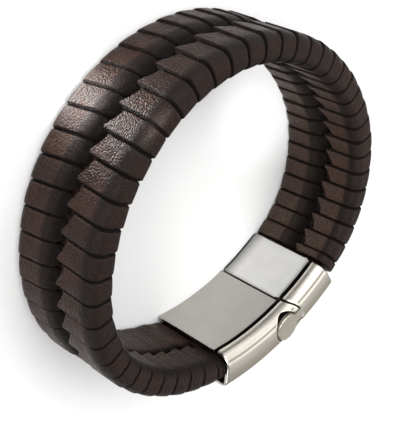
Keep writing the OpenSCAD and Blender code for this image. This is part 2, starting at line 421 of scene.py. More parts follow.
class Shader:
    """A node's output socket. Expressions on it add the nodes that work them out."""

    def __init__(self, tree, socket):
        self.tree, self.socket = tree, socket

    def _maths(self, operation, *values):
        return node(self.tree, "ShaderNodeMath", values, operation=operation)

    def __add__(self, other):
        return self._maths("ADD", self, other)

    def __sub__(self, other):
        return self._maths("SUBTRACT", self, other)

    def __rsub__(self, other):
        return self._maths("SUBTRACT", other, self)

    def __mul__(self, other):
        return self._maths("MULTIPLY", self, other)

    __radd__, __rmul__ = __add__, __mul__

    def clamped(self):
        return node(self.tree, "ShaderNodeClamp", (self, 0.0, 1.0))

    def ranged(self, low, high, to_low=0.0, to_high=1.0):
        values = (self, low, high, to_low, to_high)
        return node(self.tree, "ShaderNodeMapRange", values, interpolation_type="SMOOTHSTEP")


def fill(tree, sockets, values):
    """Links or sets a node's sockets, which are given by their place or name."""
    for key, value in values.items():
        if isinstance(value, Shader):
            tree.links.new(value.socket, sockets[key])
        else:
            sockets[key].default_value = value


def node(tree, kind, values=(), output=0, **options):
    """Adds a node. Its options are set first, then its sockets, in order or by name."""
    made = tree.nodes.new(kind)
    for key, value in options.items():
        setattr(made, key, value)
    fill(tree, made.inputs, values if isinstance(values, dict) else dict(enumerate(values)))
    return Shader(tree, made.outputs[output])


def mixed(tree, factor, first, second):
    """One colour fading into another."""
    made = tree.nodes.new("ShaderNodeMix")
    made.data_type = "RGBA"
    sockets = {socket.identifier: socket for socket in made.inputs}
    fill(tree, sockets, {"Factor_Float": factor, "A_Color": first, "B_Color": second})
    return Shader(tree, next(o for o in made.outputs if o.identifier == "Result_Color"))


def layered(tree, base, factor, strength, coat):
    """A base colour with a coat over it, as strong as a factor says."""
    return mixed(tree, (factor * strength).clamped(), base, coat)


def carried(tree, name, output="Fac"):
    """A value that a mesh carries for each of its points."""
    return node(tree, "ShaderNodeAttribute", output=output, attribute_name=name)


def material(name):
    """A new material, its node tree and its surface node."""
    made = bpy.data.materials.new(name)
    made.use_nodes = True
    tree = made.node_tree
    surface = next(n for n in tree.nodes if n.type == "BSDF_PRINCIPLED")
    return made, tree, surface


def shared_material(name, maker, *values, **options):
    """The material of that name, which is made where there is none yet."""
    return bpy.data.materials.get(name) or maker(name, *values, **options)


def rgba(rgb, part=1.0):
    """A part of a colour's brightness, without transparency."""
    return (*[c * part for c in rgb], 1.0)


# The middle of a noise, in which nearly all of its values lie
NOISE_MIDDLE = (0.3, 0.7)

# The leather's noises: warm patches, mottling, pebbled grain, and creases between the pebbles
PATCHES = {"Scale": 230.0, "Detail": 3.0, "Roughness": 0.55}
MOTTLING = {"Scale": 1500.0, "Detail": 3.0, "Roughness": 0.6}
PEBBLES = {"Scale": 3000.0, "Smoothness": 0.3, "Randomness": 1.0}
CREASES = {"Scale": 1300.0, "Detail": 4.0, "Roughness": 0.62, "Distortion": 0.6}
# Where the noises start to show and are full, and how strongly each coat covers the leather
PATCH_RANGE, MOTTLE_RANGE, WEAR_RANGE = (0.42, 0.64), (0.35, 0.75), (0.3, 0.6, 0.5, 1.0)
PATCH, MOTTLE, TONE, WEAR_AND_LIGHT, FOLDED = 0.85, 0.4, 0.4, 0.75, 0.9
# Brightness of the coats against the leather's own; the fold coat and the deep coat are painted
# shade
MOTTLE_SHADE, TONE_SHADE, FOLD_SHADE, DEEP_SHADE = 0.5, 1.6, 0.22, 0.12
# How much smoother and rougher the creases make it, and how much rougher its dark and folded parts
SMOOTHER, ROUGHER, DEEP_ROUGHER, FOLD_ROUGHER = 0.06, 0.1, 0.4, 0.2
# Heights of the pebbles and creases, how much a fold flattens them, and their depth in metres
PEBBLE_HEIGHT, CREASE_HEIGHT, FLATTENED, GRAIN_DEPTH = 0.8, 0.4, 0.6, 0.0003


def leather_material(name, finish, darker=1.0):
    """Grained brown leather: glossy pebbles on its flat faces, duller in its folds and darker there
    as painted shade, with warm patches, a tone for each tab, worn edges that also carry a painted
    sheen and highlights, and painted shade in slits and sunken ends."""
    made, tree, surface = material(name)
    place = node(tree, "ShaderNodeTexCoord", output="Object")
    edge, tone, painted_shade, fold = (carried(tree, key) for key in ("edge", "tone", "painted_shade", "fold"))
    patches, mottle, creases = (
        node(tree, "ShaderNodeTexNoise", {"Vector": place, **kind})
        for kind in (PATCHES, MOTTLING, CREASES)
    )
    spots = {"Vector": place, **PEBBLES}
    pebbles = node(tree, "ShaderNodeTexVoronoi", spots, output="Distance", feature="SMOOTH_F1")
    shade = [c * darker for c in finish.leather]
    warm, wear_and_light = rgba(finish.leather_warm, darker), rgba(finish.leather_wear_and_sheen, darker)
    base = layered(tree, rgba(shade), patches.ranged(*PATCH_RANGE), PATCH, warm)
    base = layered(tree, base, mottle.ranged(*MOTTLE_RANGE), MOTTLE, rgba(shade, MOTTLE_SHADE))
    base = layered(tree, base, tone, TONE, rgba(shade, TONE_SHADE))
    # Wear, painted highlights and painted sheen, in one lighter coat
    base = layered(tree, base, edge * creases.ranged(*WEAR_RANGE), WEAR_AND_LIGHT, wear_and_light)
    # Painted shade in the folds
    base = layered(tree, base, fold, FOLDED, rgba(shade, FOLD_SHADE))
    # Painted shade in slits, hollows, sunken ends and the groove
    base = mixed(tree, painted_shade.clamped(), base, rgba(shade, DEEP_SHADE))
    rough = finish.leather_roughness
    rough = creases.ranged(*NOISE_MIDDLE, rough - SMOOTHER, rough + ROUGHER)
    grain = (1.0 - pebbles) * (1.0 - fold * FLATTENED) * PEBBLE_HEIGHT + creases * CREASE_HEIGHT
    bump = {"Strength": 1.0, "Distance": GRAIN_DEPTH, "Height": grain}
    looks = {
        "Base Color": base,
        "Roughness": (rough + painted_shade * DEEP_ROUGHER + fold * FOLD_ROUGHER).clamped(),
        "Specular IOR Level": 0.16,
        "Specular Tint": (1.0, 0.93, 0.9, 1.0),
        "Normal": node(tree, "ShaderNodeBump", bump),
    }
    fill(tree, surface.inputs, looks)
    return made


# How the brushing is drawn out along and across the flow, and the noises of brushing and smears
DRAWN_OUT = (0.35, 9.0, 9.0)
BRUSHING = {"Scale": 1.0, "Detail": 2.0, "Roughness": 0.5}
SMEARS = {"Scale": 0.25, "Detail": 2.0, "Roughness": 0.5}
# Depths over which a rail's painted highlight along its inner edge ends, its painted dark line
# starts and ends, and its painted outer shade comes in
PAINTED_HIGHLIGHT_DEPTHS, OUTER_SHADE_DEPTHS = (0.2, 0.4), (2.3, 5.5)
DARK_LINE_STARTS, DARK_LINE_ENDS = (1.1, 1.35), (1.5, 1.8)
# Brightness of each against the steel's own or the outer shade, and how strongly it covers it; all
# but the smears are painted highlight or shade
SMEAR_SHADES, PAINTED_HIGHLIGHT, DARK_LINE_SHADE, GROOVE_SHADE = (0.96, 1.03), 1.6, 0.45, 0.02
POLISH_HIGHLIGHT_COLOUR, POLISH_HIGHLIGHT, DARK_LINE = (0.5, 0.485, 0.455), 0.7, 0.85
# How much smoother and rougher the brushing makes it, and what smears, grooves and polish add
BRUSH_SMOOTHER, BRUSH_ROUGHER = 0.03, 0.05
SMEAR_ROUGHER, GROOVE_ROUGHER, POLISH_SMOOTHER = 0.03, 0.4, 0.1
# Strength of the brushing's relief, and its depth in metres
BRUSH_RELIEF, BRUSH_DEPTH = 0.12, 0.00002


def steel_material(name, finish, steel, outer=None, streaks=1.0):
    """Satin steel with fine brushing along the flow that its mesh carries, painted dark as shade in
    its grooves. The painted outer shade, where there is one, comes in with the depth; a painted
    dark line runs before it and a painted highlight lies along the rail's inner edge. Polished rims
    are coloured as a painted highlight."""
    made, tree, surface = material(name)
    flow = carried(tree, "flow", output="Vector")
    drawn = node(tree, "ShaderNodeVectorMath", (flow, DRAWN_OUT), operation="MULTIPLY")
    brushing = node(tree, "ShaderNodeTexNoise", {"Vector": drawn, **BRUSHING})
    smears = node(tree, "ShaderNodeTexNoise", {"Vector": flow, **SMEARS})
    dull, bright = (rgba(steel, shade) for shade in SMEAR_SHADES)
    base = mixed(tree, smears.ranged(*NOISE_MIDDLE), dull, bright)
    if outer:
        depth = node(tree, "ShaderNodeSeparateXYZ", (flow,), output="Y")
        # Painted shade further out
        base = mixed(tree, depth.ranged(*OUTER_SHADE_DEPTHS), base, rgba(outer))
        # Painted highlight along the rail's inner edge
        base = mixed(tree, 1 - depth.ranged(*PAINTED_HIGHLIGHT_DEPTHS), base, rgba(steel, PAINTED_HIGHLIGHT))
        # Painted dark line across the rail's rounding
        dark_line = depth.ranged(*DARK_LINE_STARTS) * (1 - depth.ranged(*DARK_LINE_ENDS))
        base = layered(tree, base, dark_line, DARK_LINE, rgba(outer, DARK_LINE_SHADE))
    painted_shade, polish_highlight = (carried(tree, key) for key in ("painted_shade", "polish_highlight"))
    # Polished rims, coloured as a painted highlight
    base = layered(tree, base, polish_highlight, POLISH_HIGHLIGHT, rgba(POLISH_HIGHLIGHT_COLOUR))
    # Painted shade in the grooves and hollows
    base = mixed(tree, painted_shade.clamped(), base, rgba(steel, GROOVE_SHADE))
    rough = finish.steel_roughness
    smooth, coarse = rough - BRUSH_SMOOTHER * streaks, rough + BRUSH_ROUGHER * streaks
    rough = brushing.ranged(*NOISE_MIDDLE, smooth, coarse) + smears * SMEAR_ROUGHER
    bump = {"Strength": BRUSH_RELIEF * streaks, "Distance": BRUSH_DEPTH, "Height": brushing}
    looks = {
        "Base Color": base,
        "Metallic": 1.0,
        "Roughness": (rough + painted_shade * GROOVE_ROUGHER - polish_highlight * POLISH_SMOOTHER).clamped(),
        "Normal": node(tree, "ShaderNodeBump", bump),
    }
    fill(tree, surface.inputs, looks)
    return made


# Height of a near tab's end over its tip, along the tab from its slit to the next
NEAR_END = (
    (0.0, 1.4), (0.08, 1.6), (0.22, 1.5), (0.5, 1.05), (0.72, 0.4), (0.88, 0.0), (0.95, 0.1),
    (1.0, 0.45),
)
# Height of a far tab's sunken end under its highest point
FAR_END = ((0.0, 1.3), (0.08, 0.7), (0.22, 0.25), (0.5, 0.0), (0.8, 0.25), (0.93, 0.8), (1.0, 1.4))

# The flat tab: how deep its fold is, the radius and segments of its ends and sides, the inset and
# reach of the faces that close its slits, and the spacing of the cuts along it and across it
FOLD, END_CORNER, SIDE_SEGMENTS, SLIT_SEGMENTS = 2.5, (0.55, 3), 8, 3
CAP_INSET, CAP_REACH, ALONG, ACROSS = 0.12, 0.01, 0.36, 0.4
# How far a point may lie from a face that it belongs to
TOUCH = 0.01
# How tabs differ in depth, station, length and lean, and the range of their wear and painted
# highlights
LIFT, SLIDE, LONGER, LEAN, WEAR_LIGHT_SHARES = 0.05, 0.02, 0.12, 0.05, (0.5, 1.0)
# Stations over which the inner face turns smooth, where that face starts as a share of the half
# thickness, and the heights over which it ends
SMOOTH_STATIONS, INNER_FACE, SMOOTH_ENDS = (168, 178), -0.6, (16.6, 18.0)
# Wear along a slit, stronger on a tab's first side as a painted highlight: its distance from it,
# its width, and how strong it is on either side of a tab
WORN_AND_LIT_AT, WORN_AND_LIT_WIDTH, WORN_AND_LIT_FIRST, WORN_AND_LIT_LAST = 0.25, 0.2, 1.0, 0.3
# Sheen of the inner face: everywhere, more beside the clasp, to which stations, on which part
SHEEN, MORE_SHEEN, SHEEN_STATIONS, SHEEN_PART = 0.75, 0.25, (22, 45), (0.6, 0.9)
# Painted shade in a slit and in what is sunken: its darkness, how wide a slit's is, and how it
# widens to the side
DARK, SUNKEN_DARK, SLIT_DARK, WIDENING = 0.95, 0.97, 0.12, 1.2
WIDER, WIDER_HEIGHTS = 0.1, (17.0, 18.5)
# How far a tab's edges lie under the band's face
UNDER = 0.03
# The near tabs: the length and share of smooth tips, their wear and painted highlight and its
# width, how far a tip draws the leather along, the slant, the height where it is nil and the inner
# face's share of it
SMOOTH_TIP, SMOOTH_SHARE, TIP_WEAR_AND_LIGHT, TIP_WIDTH, TIP_DRAW = 0.9, 0.5, 0.8, 0.5, 4.5
NEAR_SLANT, NEAR_LEVEL, NEAR_INNER = 0.055, 15, 0.4
# Heights over which the near fold darkens with painted shade and its rim has less of it, and by
# how much
NEAR_FOLD, NEAR_RIM, RIM_LIGHT = (16.1, 17.0), (18.9, 19.3), 0.4
# How far from the leather's end the last tab darkens with painted shade towards the clasp
MOUTH_START, MOUTH_DARK = 1.3, 0.8
# The far tabs: how far their end draws the leather along, where they start to fall inwards, how
# far they fall and how much less where the face is smooth, and their slant as above
FAR_DRAW, FALL_FROM, FALL, SMOOTH_FALL = 3.0, 5.9, 1.7, 1.1
FAR_SLANT, FAR_LEVEL, FAR_INNER = 0.1, 7.5, -0.3
# Heights over which the far fold and its sunken end darken with painted shade, and how much
# higher where smooth
FAR_FOLD, FAR_SUNKEN = ((5.9, 2.6), (6.8, 3.0)), ((7.2, 1.9), (9.0, 1.2))
# The leather's unevenness: its height and fineness, and the step between the tabs' patterns
UNEVEN, FINENESS, UNLIKE = 0.05, 0.55, 7.3
# How much the smooth tabs spread over their slits
SPREAD = 0.3
# How far from its end the leather's inner face dips into the clasp, and how much its inside does
DIP_START, DIP_FULL, DIP_INSIDE = 5.0, 0.3, 0.3
# The leather under the groove: its depths from either face, its heights and its shortening
BRIDGE_DEPTHS, BRIDGE_HEIGHTS, BRIDGE_SHORTER = (1.6, 1.8), (8.6, 12.6), 0.1


class Tabs:
    """Makes the tabs of both rows as flat shapes, then wraps each on its place in the loop."""

    def __init__(self, loop, band):
        self.loop, self.band = loop, band
        self.near = self.flat_tab(band["tip"], band["width"], band["width"] - FOLD)
        self.far = self.flat_tab(band["far_top"], -band["pressed"], FOLD - band["pressed"])

    def flat_tab(self, end, side, channel):
        """A strip of leather folded round the strap's edge, flat and square at its ends."""
        band = self.band
        thick, wall, slit = band["thickness"], band["wall"], band["slit"]
        corners = [
            (thick, end, *END_CORNER),
            (thick, side, band["side_radius"], SIDE_SEGMENTS),
            (0.0, side, band["side_radius"], SIDE_SEGMENTS),
            (0.0, end, *END_CORNER),
            (wall, end, *SQUARE),
            (wall, channel, *SQUARE),
            (thick - wall, channel, *SQUARE),
            (thick - wall, end, *SQUARE),
        ]
        start, stop = slit / 2, self.loop.pitch - slit / 2
        bm = prism(corners, start, stop)
        ends = [
            e for e in bm.edges
            if abs(e.verts[0].co.x - e.verts[1].co.x) < 1e-6
            and not all(self.hollow(v.co, channel, side) for v in e.verts)
        ]
        rounded(bm, ends, band["slit_radius"], SLIT_SEGMENTS)
        for cap, way in [(f, round(f.normal.x)) for f in bm.faces if abs(f.normal.x) > 0.99]:
            bmesh.ops.inset_region(
                bm, faces=[cap], thickness=CAP_INSET, depth=0.0, use_boundary=True,
                use_even_offset=True,
            )
            bmesh.ops.translate(bm, vec=(way * (slit / 2 + CAP_REACH), 0, 0), verts=cap.verts)
        slice_up(bm, 0, steps(start + band["slit_radius"], stop - band["slit_radius"], ALONG))
        slice_up(bm, 2, steps(min(end, side), max(end, side), ACROSS))
        slice_up(bm, 1, [thick / 2])
        bmesh.ops.recalc_face_normals(bm, faces=bm.faces[:])
        mesh = bpy.data.meshes.new("flat_tab")
        bm.to_mesh(mesh)
        bm.free()
        return mesh

    def hollow(self, point, channel, side):
        """Whether a point lies on the inside of a tab's fold, which is closed towards its side."""
        wall, thick = self.band["wall"], self.band["thickness"]
        between = wall - TOUCH < point.y < thick - wall + TOUCH
        return between and (point.z - channel) * (side - channel) < TOUCH

    def tab(self, near, at, number, first=0.0, last=1.0):
        """One tab at a station, shaped by its row and a little different from its neighbours. A
        half tab at the clasp keeps only the part from first to last."""
        band, loop, pitch = self.band, self.loop, self.loop.pitch
        odd = random.Random(number * 2 + near)
        bm = bmesh.new()
        bm.from_mesh(self.near if near else self.far)
        half_slit = band["slit"] / 2
        for place, side in ((pitch * first + half_slit, -1), (pitch * last - half_slit, 1)):
            if half_slit < place < pitch - half_slit:
                cut = bmesh.ops.bisect_plane(
                    bm, geom=everything(bm), plane_co=(place, 0, 0), plane_no=(side, 0, 0),
                    clear_outer=True,
                )
                rim = [item for item in cut["geom_cut"] if isinstance(item, bmesh.types.BMEdge)]
                bmesh.ops.edgeloop_fill(bm, edges=rim)
        bm.normal_update()
        layers = [bm.verts.layers.float.new(name) for name in ("edge", "tone", "painted_shade", "fold")]
        edge, tone, painted_shade, fold = layers
        middle = band["thickness"] / 2
        end, side = (band["tip"], band["width"]) if near else (band["far_top"], -band["pressed"])
        channel = side - FOLD if near else side + FOLD
        lift, slide, longer = (odd.uniform(-most, most) for most in (LIFT, SLIDE, LONGER))
        shade, lean = odd.random(), odd.uniform(-LEAN, LEAN)
        wear_light_share = odd.uniform(*WEAR_LIGHT_SHARES)
        smooth = rise(at, *SMOOTH_STATIONS)
        sheen = (SHEEN + MORE_SHEEN * (1 - rise(at, *SHEEN_STATIONS))) * (1 - smooth)
        for vert in bm.verts:
            x, depth, height = vert.co
            u = x / pitch
            out = (depth - middle) / middle
            inside = self.hollow(vert.co, channel, side)
            from_slit = min(x - half_slit, pitch - half_slit - x)
            calm = 1 - smooth * (out < INNER_FACE) * (1 - rise(height, *SMOOTH_ENDS))
            # Wear along the slits; its greater strength on the first side is a painted highlight
            wear_and_light = wear_light_share * calm * (WORN_AND_LIT_FIRST if u < 0.5 else WORN_AND_LIT_LAST)
            vert[edge] = wear_and_light * max(1 - abs(from_slit - WORN_AND_LIT_AT) / WORN_AND_LIT_WIDTH, 0.0)
            # Painted sheen on the inner face, laid in the wear coat
            vert[edge] = max(vert[edge], sheen * rise(-out, *SHEEN_PART))
            vert[tone] = shade
            # Painted shade in the slits and in the fold's hollow
            wider = WIDER * rise(height, *WIDER_HEIGHTS)
            if inside or from_slit < -TOUCH:
                vert[painted_shade] = DARK
            else:
                lit = rise(from_slit, wider, SLIT_DARK + WIDENING * wider)
                vert[painted_shade] = DARK * calm * (1 - lit)
            if not inside:
                vert.co += vert.normal * (band["crown"] * (1 - (2 * u - 1) ** 2) - UNDER)
                x, depth, height = vert.co
            if near:
                tip = ease(u, NEAR_END) + longer
                tip += (SMOOTH_TIP - tip) * SMOOTH_SHARE * smooth * (out < 0)
                # Wear and a painted highlight on the near tips
                rubbed_and_lit = 1 - min(abs(height - end) / TIP_WIDTH, 1.0)
                vert[edge] = max(vert[edge], TIP_WEAR_AND_LIGHT * wear_light_share * rubbed_and_lit * (not inside))
                height += tip * (1 - rise(height, end, end + TIP_DRAW))
                x += NEAR_SLANT * (height - NEAR_LEVEL) * (1 if out > 0 else NEAR_INNER)
                # Painted shade on the near fold, lifted at its rim
                vert[fold] = rise(height, *NEAR_FOLD) * (1 - RIM_LIGHT * rise(height, *NEAR_RIM))
                # Painted shade on the last tab towards the clasp
                if number == LINKS:
                    mouth_shade = rise(at + x, loop.end - MOUTH_START, loop.end - MOUTH_DARK)
                    vert[painted_shade] = max(vert[painted_shade], SUNKEN_DARK * mouth_shade)
            else:
                height -= (ease(u, FAR_END) - longer) * rise(height, end - FAR_DRAW, end)
                met = smooth * (out < 0)
                fall = max(0.0, (height - FALL_FROM) / (band["far_top"] - FALL_FROM)) ** 2
                depth -= out * fall * (FALL - SMOOTH_FALL * met) * (not inside)
                # Painted shade on the far fold
                vert[fold] = rise(height, *(low + more * met for low, more in FAR_FOLD))
                # Painted shade on the far tab's sunken end
                sunken_shade = rise(height, *(low + more * met for low, more in FAR_SUNKEN))
                vert[painted_shade] = max(vert[painted_shade], SUNKEN_DARK * sunken_shade)
                x -= FAR_SLANT * (height - FAR_LEVEL) * (1 if out > 0 else FAR_INNER)
            if not inside:
                depth += out * ((u - 0.5) * band["overlap"] + lift + lean * (u - 0.5))
                spot = Vector((x + number * UNLIKE, depth, height)) * FINENESS
                depth += UNEVEN * noise.noise(spot) * out
                x += (u - 0.5) * SPREAD * smooth * (out < INNER_FACE)
            dip = rise(at + x, loop.end - DIP_START, loop.end - DIP_FULL)
            dip *= max(1 - depth / middle, 0.0)
            depth += dip * (DIP_INSIDE if inside else 1.0)
            vert.co = loop.at(at + x + slide, depth, max(height, 0.0))
        return bm

    def bridge(self, at):
        """The leather under the groove, which joins a link's two tabs, all painted dark as shade.
        """
        thick = self.band["thickness"]
        low, high = BRIDGE_DEPTHS
        start, stop = at + BRIDGE_SHORTER, at + self.loop.pitch / 2 - BRIDGE_SHORTER
        bm = bmesh.new()
        for depths in (BRIDGE_DEPTHS, (thick - high, thick - low)):
            add_to(bm, bent(self.loop, oblong(*depths, *BRIDGE_HEIGHTS), start, stop))
        dark = bm.verts.layers.float.new("painted_shade")
        for vert in bm.verts:
            vert[dark] = 1.0
        return bm


def settings(context):
    """The sizes in millimetres, the finishes and the loop that they give."""
    scene = context.scene
    band, clasp = sizes(scene.bracelet_band), sizes(scene.bracelet_clasp)
    return band, clasp, scene.bracelet_finishes, Loop(band, clasp)


class BRACELET_OT_links(bpy.types.Operator):
    """Wrap a near and a far leather tab round the strap for each link"""

    bl_idname = "bracelet.links"
    bl_label = "Leather links"

    def execute(self, context):
        band, _, finish, loop = settings(context)
        leather = shared_material("grained_leather", leather_material, finish)
        tabs = Tabs(loop, band)
        for number, name in enumerate(LINK_NODES):
            at = loop.start + number * loop.pitch
            bm = tabs.tab(False, at, number)
            first = 0.5 if number == 0 else 0.0
            add_to(bm, tabs.tab(True, at - loop.pitch / 2, number, first=first))
            add_to(bm, tabs.bridge(at))
            keep(bm, f"{name}_leather", leather, [name], "bracelet")
        bm = tabs.tab(True, loop.end - loop.pitch / 2, LINKS, last=0.5)
        keep(bm, "end_tab_leather", leather, ["end_tab"], "bracelet")
        return {"FINISHED"}


# The strap: half its thickness and width, its corners, how far it runs on and its cuts' spacing
STRAP_HALF, STRAP_SIDE, STRAP_CORNER, STRAP_ON, STRAP_STEP = 0.9, 7, (0.3, 3), 0.5, 1.4
# Its thicker ends: their depths behind the steel's wall, half their width, corners and length
ENDS_LOW, ENDS_HIGH, ENDS_SIDE, ENDS_CORNER, ENDS_LONG = 0.3, 4.7, 8, (0.8, 4), 5.0


class BRACELET_OT_strap(bpy.types.Operator):
    """Run the strap inside the links, with its thicker ends in the clasp"""

    bl_idname = "bracelet.strap"
    bl_label = "Strap"

    def execute(self, context):
        band, clasp, finish, loop = settings(context)
        leather = shared_material("strap_leather", leather_material, finish, darker=0.5)
        middle, centre = (band["width"] - band["pressed"]) / 2, band["thickness"] / 2
        depths = (centre - STRAP_HALF, centre + STRAP_HALF)
        strap = oblong(*depths, middle - STRAP_SIDE, middle + STRAP_SIDE, STRAP_CORNER)
        bm = bent(loop, strap, loop.start - STRAP_ON, loop.end + STRAP_ON, step=STRAP_STEP)
        back = clasp["inner"] + clasp["wall"]
        depths = (back + ENDS_LOW, back + ENDS_HIGH)
        thicker = oblong(*depths, middle - ENDS_SIDE, middle + ENDS_SIDE, ENDS_CORNER)
        inside = ENDS_LONG + band["mouth_gap"]
        last = loop.end - loop.length
        add_to(bm, bent(loop, thicker, loop.start - inside, loop.start))
        add_to(bm, bent(loop, thicker, last, last + inside))
        keep(bm, "strap_leather", leather, ["core_strap"], "bracelet")
        return {"FINISHED"}


# Radius and segments of the shells' rounded corners: the rail, the outer face, and their insides
RAIL_RADIUS = 3.0
RAIL, BACK, BACK_INSIDE, RAIL_INSIDE = (RAIL_RADIUS, 12), (1.8, 8), (0.8, 4), (2.0, 8)
# Gap between a plate's back and the shell's edge on which it lies
PLATE_GAP = 0.15
# Radius of the shells' edges and of their rolled ends at the two mouths
SHELL_EDGE, BOX_ROLL, TONGUE_ROLL = 0.14, 0.45, 0.5
# How far cutters stand out past the near face and past what they cut
CLEAR, OVER = 3, 1
# What is cut off past the joint: its depths, its lowest height and rise over the clasp, its
# length, and how far the box runs into it
PAST_DEPTHS, PAST_LOW, PAST_OVER, PAST_LONG, RUN_IN = (-2.0, 10.0), -1.0, 2, 5, 4
# Share of the button's gap by which its bore is wider than the button
BORE_SHARE = 0.8
# The tongue: its gap under the rail's seam, its inner and outer gaps, corners, length past the
# joint, and how far the tongue half is hollow from its mouth and past its rail's lip
TONGUE_UNDER, TONGUE_IN, TONGUE_OUT, TONGUE_CORNER, TONGUE_LONG = 0.15, 1.15, 1.3, (0.5, 3), 8.3
HOLLOW_LONG, HOLLOW_LIP = 5.5, 0.5
# Gap between the curl and the tongue half's rail, over the joint's own
CURL_GAP = 0.22
# The notch beside the neck's end: its corners from the button's centre, its depth under the near
# face, and the stations, depths and skin inside which its walls are painted dark as shade
NOTCH_LOW, NOTCH_HIGH, NOTCH_DEEP = (3.2, -3.15), (5.2, -1.55), 1.2
NOTCH_STATIONS, NOTCH_DEPTHS, NOTCH_SKIN = (4.8, 6.8), (5.35, 7.15), 0.16
# How far past the bore and the curl a wall counts as standing round the button and gets painted
# shade
BORE_REACH, CURL_REACH = 0.1, 0.42
# How deep the skin of a shell is over its inside, of the joint's walls and of the bore's; what lies
# under it gets painted shade
SKIN_DEPTH, WALL_PART, RAIL_PART, JOINT_SKIN, BORE_SKIN = 0.2, 0.8, 0.5, 0.12, 0.08
# How near the joint its walls are, how far out they reach, and where the curl's wall lies
JOINT_BESIDE, JOINT_DEPTH, CURL_BESIDE, CURL_WIDE = 0.02, 7.4, 0.1, 0.3


def cavity(clasp):
    """The corners of a shell's inside that both halves have, from its far wall to the rail."""
    back, near = clasp["outer"] - clasp["wall"], clasp["width"] - clasp["wall"]
    return [
        (back, clasp["wall"], *BACK_INSIDE),
        (back, near, *BACK_INSIDE),
        (clasp["inner"] + clasp["wall"], near, *RAIL_INSIDE),
    ]


def shell_corners(clasp, hollow):
    """A clasp half's cross-section: rail, outer face and far edge, open where the plate lies."""
    inner, outer, width, wall = clasp["inner"], clasp["outer"], clasp["width"], clasp["wall"]
    lip, floor = width - clasp["rail"], inner + wall + PLATE_GAP
    rim = [
        (inner, lip, *SQUARE),
        (inner, width, *RAIL),
        (outer, width, *BACK),
        (outer, 0.0, *BACK),
        (floor, 0.0, *SQUARE),
    ]
    if not hollow:
        return [*rim, (floor, lip, *SQUARE)]
    return [*rim, (floor, wall, *SQUARE), *cavity(clasp), (inner + wall, lip, *SQUARE)]


def curl_radius(clasp):
    """Radius of the outside of the rail's curl round the button."""
    return clasp["button_radius"] + clasp["button_gap"] + clasp["curl"]


def from_button(place, clasp):
    """How far a point of the clasp lies from the button's axis."""
    return math.hypot(place.x - clasp["button_station"], place.y - clasp["button_depth"])


def on_rail(place, clasp, depth):
    """Whether a point lies on the rounded skin of the rails or less than a depth below it."""
    across = clasp["inner"] + RAIL_RADIUS - place.y
    up = place.z - clasp["width"] + RAIL_RADIUS
    return across > 0 and up > 0 and math.hypot(across, up) > RAIL_RADIUS - depth


